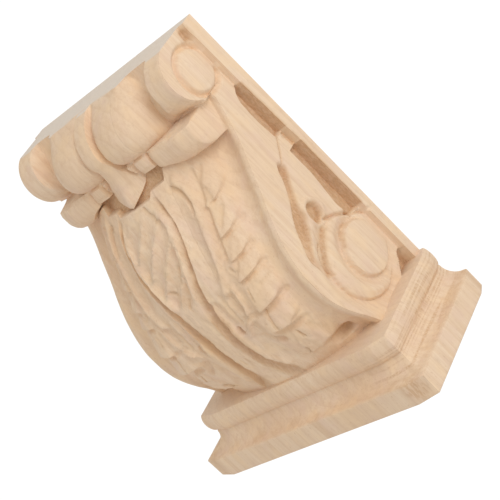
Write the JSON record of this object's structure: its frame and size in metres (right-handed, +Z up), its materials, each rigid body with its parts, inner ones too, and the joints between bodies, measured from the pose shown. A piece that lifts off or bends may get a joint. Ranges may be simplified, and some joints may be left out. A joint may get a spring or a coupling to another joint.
{
  "type": "carved wooden corbel bracket",
  "caption": "Carved wooden corbel bracket: a moulded abacus on a swelling body with an acanthus leaf, side scrolls and a rolled volute foot, for fixing flat to a wall or cabinet.",
  "frame": {"origin": "middle of the flat back face, half way up, where the bracket meets the wall", "axes": "+Z up to the abacus top, +Y back into the wall, -Y out to the carved front, X across the width"},
  "size_m": [0.1696, 0.0796, 0.2],
  "materials": {
    "pale_wood": "bare sanded and carved wood, unfinished, matt"
  },
  "bodies": {
    "root": {"carved_corbel": "pale_wood"}
  },
  "joints": []
}
